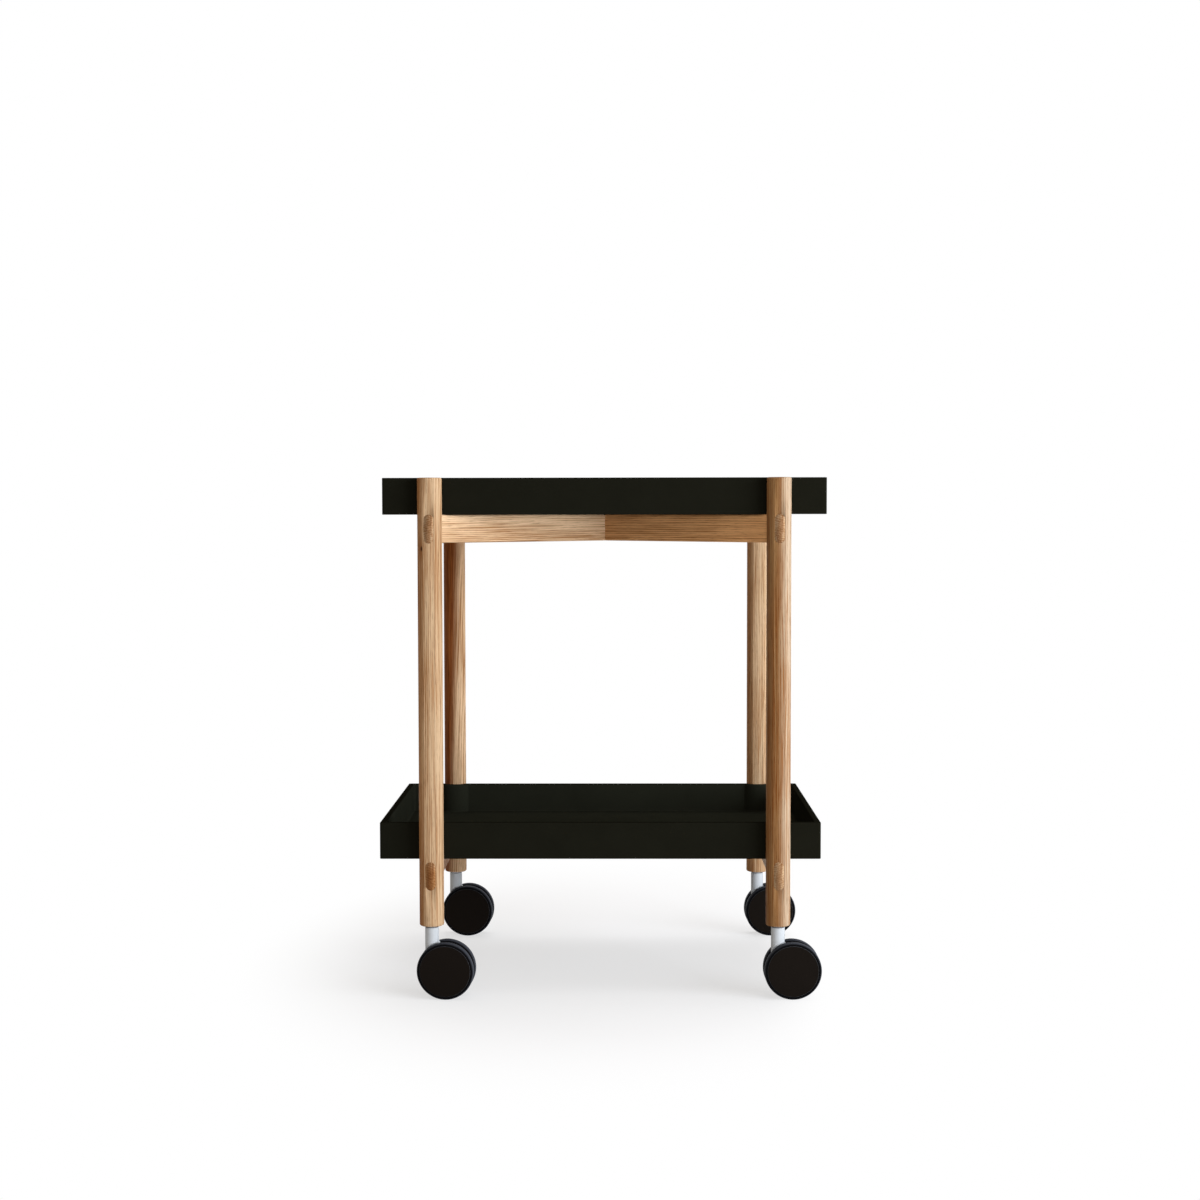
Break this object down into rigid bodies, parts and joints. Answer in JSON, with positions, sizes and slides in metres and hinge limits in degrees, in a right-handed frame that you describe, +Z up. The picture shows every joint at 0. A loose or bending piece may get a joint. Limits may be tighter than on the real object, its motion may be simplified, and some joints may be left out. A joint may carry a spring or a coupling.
{
  "type": "serving trolley",
  "caption": "Serving trolley with black rectangular trays between round oak legs, a crossed under-frame and swivelling twin-wheel casters.",
  "frame": {"origin": "on the floor in the middle of the four legs", "axes": "+X to the trolley's right along its long side, +Y from the viewer's side to the far side, +Z up"},
  "size_m": [0.586, 0.4081, 0.682],
  "materials": {
    "oak_leg": "oiled",
    "oak_rail": "oiled",
    "beech_dowel": "raw",
    "tray": "satin",
    "zinc_steel": "satin",
    "dark_washer": "matte",
    "spring_steel": "bright",
    "cast_housing": "satin",
    "wheel_core": "satin",
    "wheel_tyre": "smooth"
  },
  "bodies": {
    "frame": {"leg_front_left": "oak_leg", "leg_front_right": "oak_leg", "leg_rear_left": "oak_leg", "leg_rear_right": "oak_leg", "side_rail_upper_left": "oak_rail", "side_rail_upper_right": "oak_rail", "side_rail_lower_left": "oak_rail", "side_rail_lower_right": "oak_rail", "cross_beam_front_left_rear_right": "oak_rail", "cross_beam_front_right_rear_left": "oak_rail", "cross_dowels": "beech_dowel", "caster_socket_front_left": "zinc_steel", "caster_pin_front_left": "zinc_steel", "caster_washer_front_left": "dark_washer", "caster_snap_ring_front_left": "spring_steel", "caster_socket_front_right": "zinc_steel", "caster_pin_front_right": "zinc_steel", "caster_washer_front_right": "dark_washer", "caster_snap_ring_front_right": "spring_steel", "caster_socket_rear_left": "zinc_steel", "caster_pin_rear_left": "zinc_steel", "caster_washer_rear_left": "dark_washer", "caster_snap_ring_rear_left": "spring_steel", "caster_socket_rear_right": "zinc_steel", "caster_pin_rear_right": "zinc_steel", "caster_washer_rear_right": "dark_washer", "caster_snap_ring_rear_right": "spring_steel"},
    "upper_tray": {"tray_upper": "tray"},
    "lower_tray": {"tray_lower": "tray"},
    "caster_front_left": {"caster_housing_front_left": "cast_housing", "caster_axle_front_left": "spring_steel"},
    "wheel_front_left_near": {"wheel_core_front_left_near": "wheel_core", "wheel_tyre_front_left_near": "wheel_tyre"},
    "wheel_front_left_far": {"wheel_core_front_left_far": "wheel_core", "wheel_tyre_front_left_far": "wheel_tyre"},
    "caster_front_right": {"caster_housing_front_right": "cast_housing", "caster_axle_front_right": "spring_steel"},
    "wheel_front_right_near": {"wheel_core_front_right_near": "wheel_core", "wheel_tyre_front_right_near": "wheel_tyre"},
    "wheel_front_right_far": {"wheel_core_front_right_far": "wheel_core", "wheel_tyre_front_right_far": "wheel_tyre"},
    "caster_rear_left": {"caster_housing_rear_left": "cast_housing", "caster_axle_rear_left": "spring_steel"},
    "wheel_rear_left_near": {"wheel_core_rear_left_near": "wheel_core", "wheel_tyre_rear_left_near": "wheel_tyre"},
    "wheel_rear_left_far": {"wheel_core_rear_left_far": "wheel_core", "wheel_tyre_rear_left_far": "wheel_tyre"},
    "caster_rear_right": {"caster_housing_rear_right": "cast_housing", "caster_axle_rear_right": "spring_steel"},
    "wheel_rear_right_near": {"wheel_core_rear_right_near": "wheel_core", "wheel_tyre_rear_right_near": "wheel_tyre"},
    "wheel_rear_right_far": {"wheel_core_rear_right_far": "wheel_core", "wheel_tyre_rear_right_far": "wheel_tyre"}
  },
  "joints": [
    {"name": "upper_tray_lift", "type": "slide", "parent": "frame", "child": "upper_tray", "axis": [0, 0, 1], "range_m": [0, 0.15]},
    {"name": "lower_tray_lift", "type": "slide", "parent": "frame", "child": "lower_tray", "axis": [0, 0, 1], "range_m": [0, 0.36]},
    {"name": "swivel_front_left", "type": "hinge", "parent": "frame", "child": "caster_front_left", "pos_m": [-0.227, -0.1855, 0.075], "axis": [0, 0, 1], "continuous": true},
    {"name": "roll_front_left_near", "type": "hinge", "parent": "caster_front_left", "child": "wheel_front_left_near", "pos_m": [-0.20803, -0.18663, 0.0375], "axis": [0.0593, 0.9982, 0], "continuous": true},
    {"name": "roll_front_left_far", "type": "hinge", "parent": "caster_front_left", "child": "wheel_front_left_far", "pos_m": [-0.20803, -0.18663, 0.0375], "axis": [0.0593, 0.9982, 0], "continuous": true},
    {"name": "swivel_front_right", "type": "hinge", "parent": "frame", "child": "caster_front_right", "pos_m": [0.227, -0.1855, 0.075], "axis": [0, 0, 1], "continuous": true},
    {"name": "roll_front_right_near", "type": "hinge", "parent": "caster_front_right", "child": "wheel_front_right_near", "pos_m": [0.246, -0.1852, 0.0375], "axis": [-0.0157, 0.9999, 0], "continuous": true},
    {"name": "roll_front_right_far", "type": "hinge", "parent": "caster_front_right", "child": "wheel_front_right_far", "pos_m": [0.246, -0.1852, 0.0375], "axis": [-0.0157, 0.9999, 0], "continuous": true},
    {"name": "swivel_rear_left", "type": "hinge", "parent": "frame", "child": "caster_rear_left", "pos_m": [-0.227, 0.1855, 0.075], "axis": [0, 0, 1], "continuous": true},
    {"name": "roll_rear_left_near", "type": "hinge", "parent": "caster_rear_left", "child": "wheel_rear_left_near", "pos_m": [-0.20802, 0.18454, 0.0375], "axis": [0.0506, 0.9987, 0], "continuous": true},
    {"name": "roll_rear_left_far", "type": "hinge", "parent": "caster_rear_left", "child": "wheel_rear_left_far", "pos_m": [-0.20802, 0.18454, 0.0375], "axis": [0.0506, 0.9987, 0], "continuous": true},
    {"name": "swivel_rear_right", "type": "hinge", "parent": "frame", "child": "caster_rear_right", "pos_m": [0.227, 0.1855, 0.075], "axis": [0, 0, 1], "continuous": true},
    {"name": "roll_rear_right_near", "type": "hinge", "parent": "caster_rear_right", "child": "wheel_rear_right_near", "pos_m": [0.24599, 0.18616, 0.0375], "axis": [-0.0349, 0.9994, 0], "continuous": true},
    {"name": "roll_rear_right_far", "type": "hinge", "parent": "caster_rear_right", "child": "wheel_rear_right_far", "pos_m": [0.24599, 0.18616, 0.0375], "axis": [-0.0349, 0.9994, 0], "continuous": true}
  ]
}
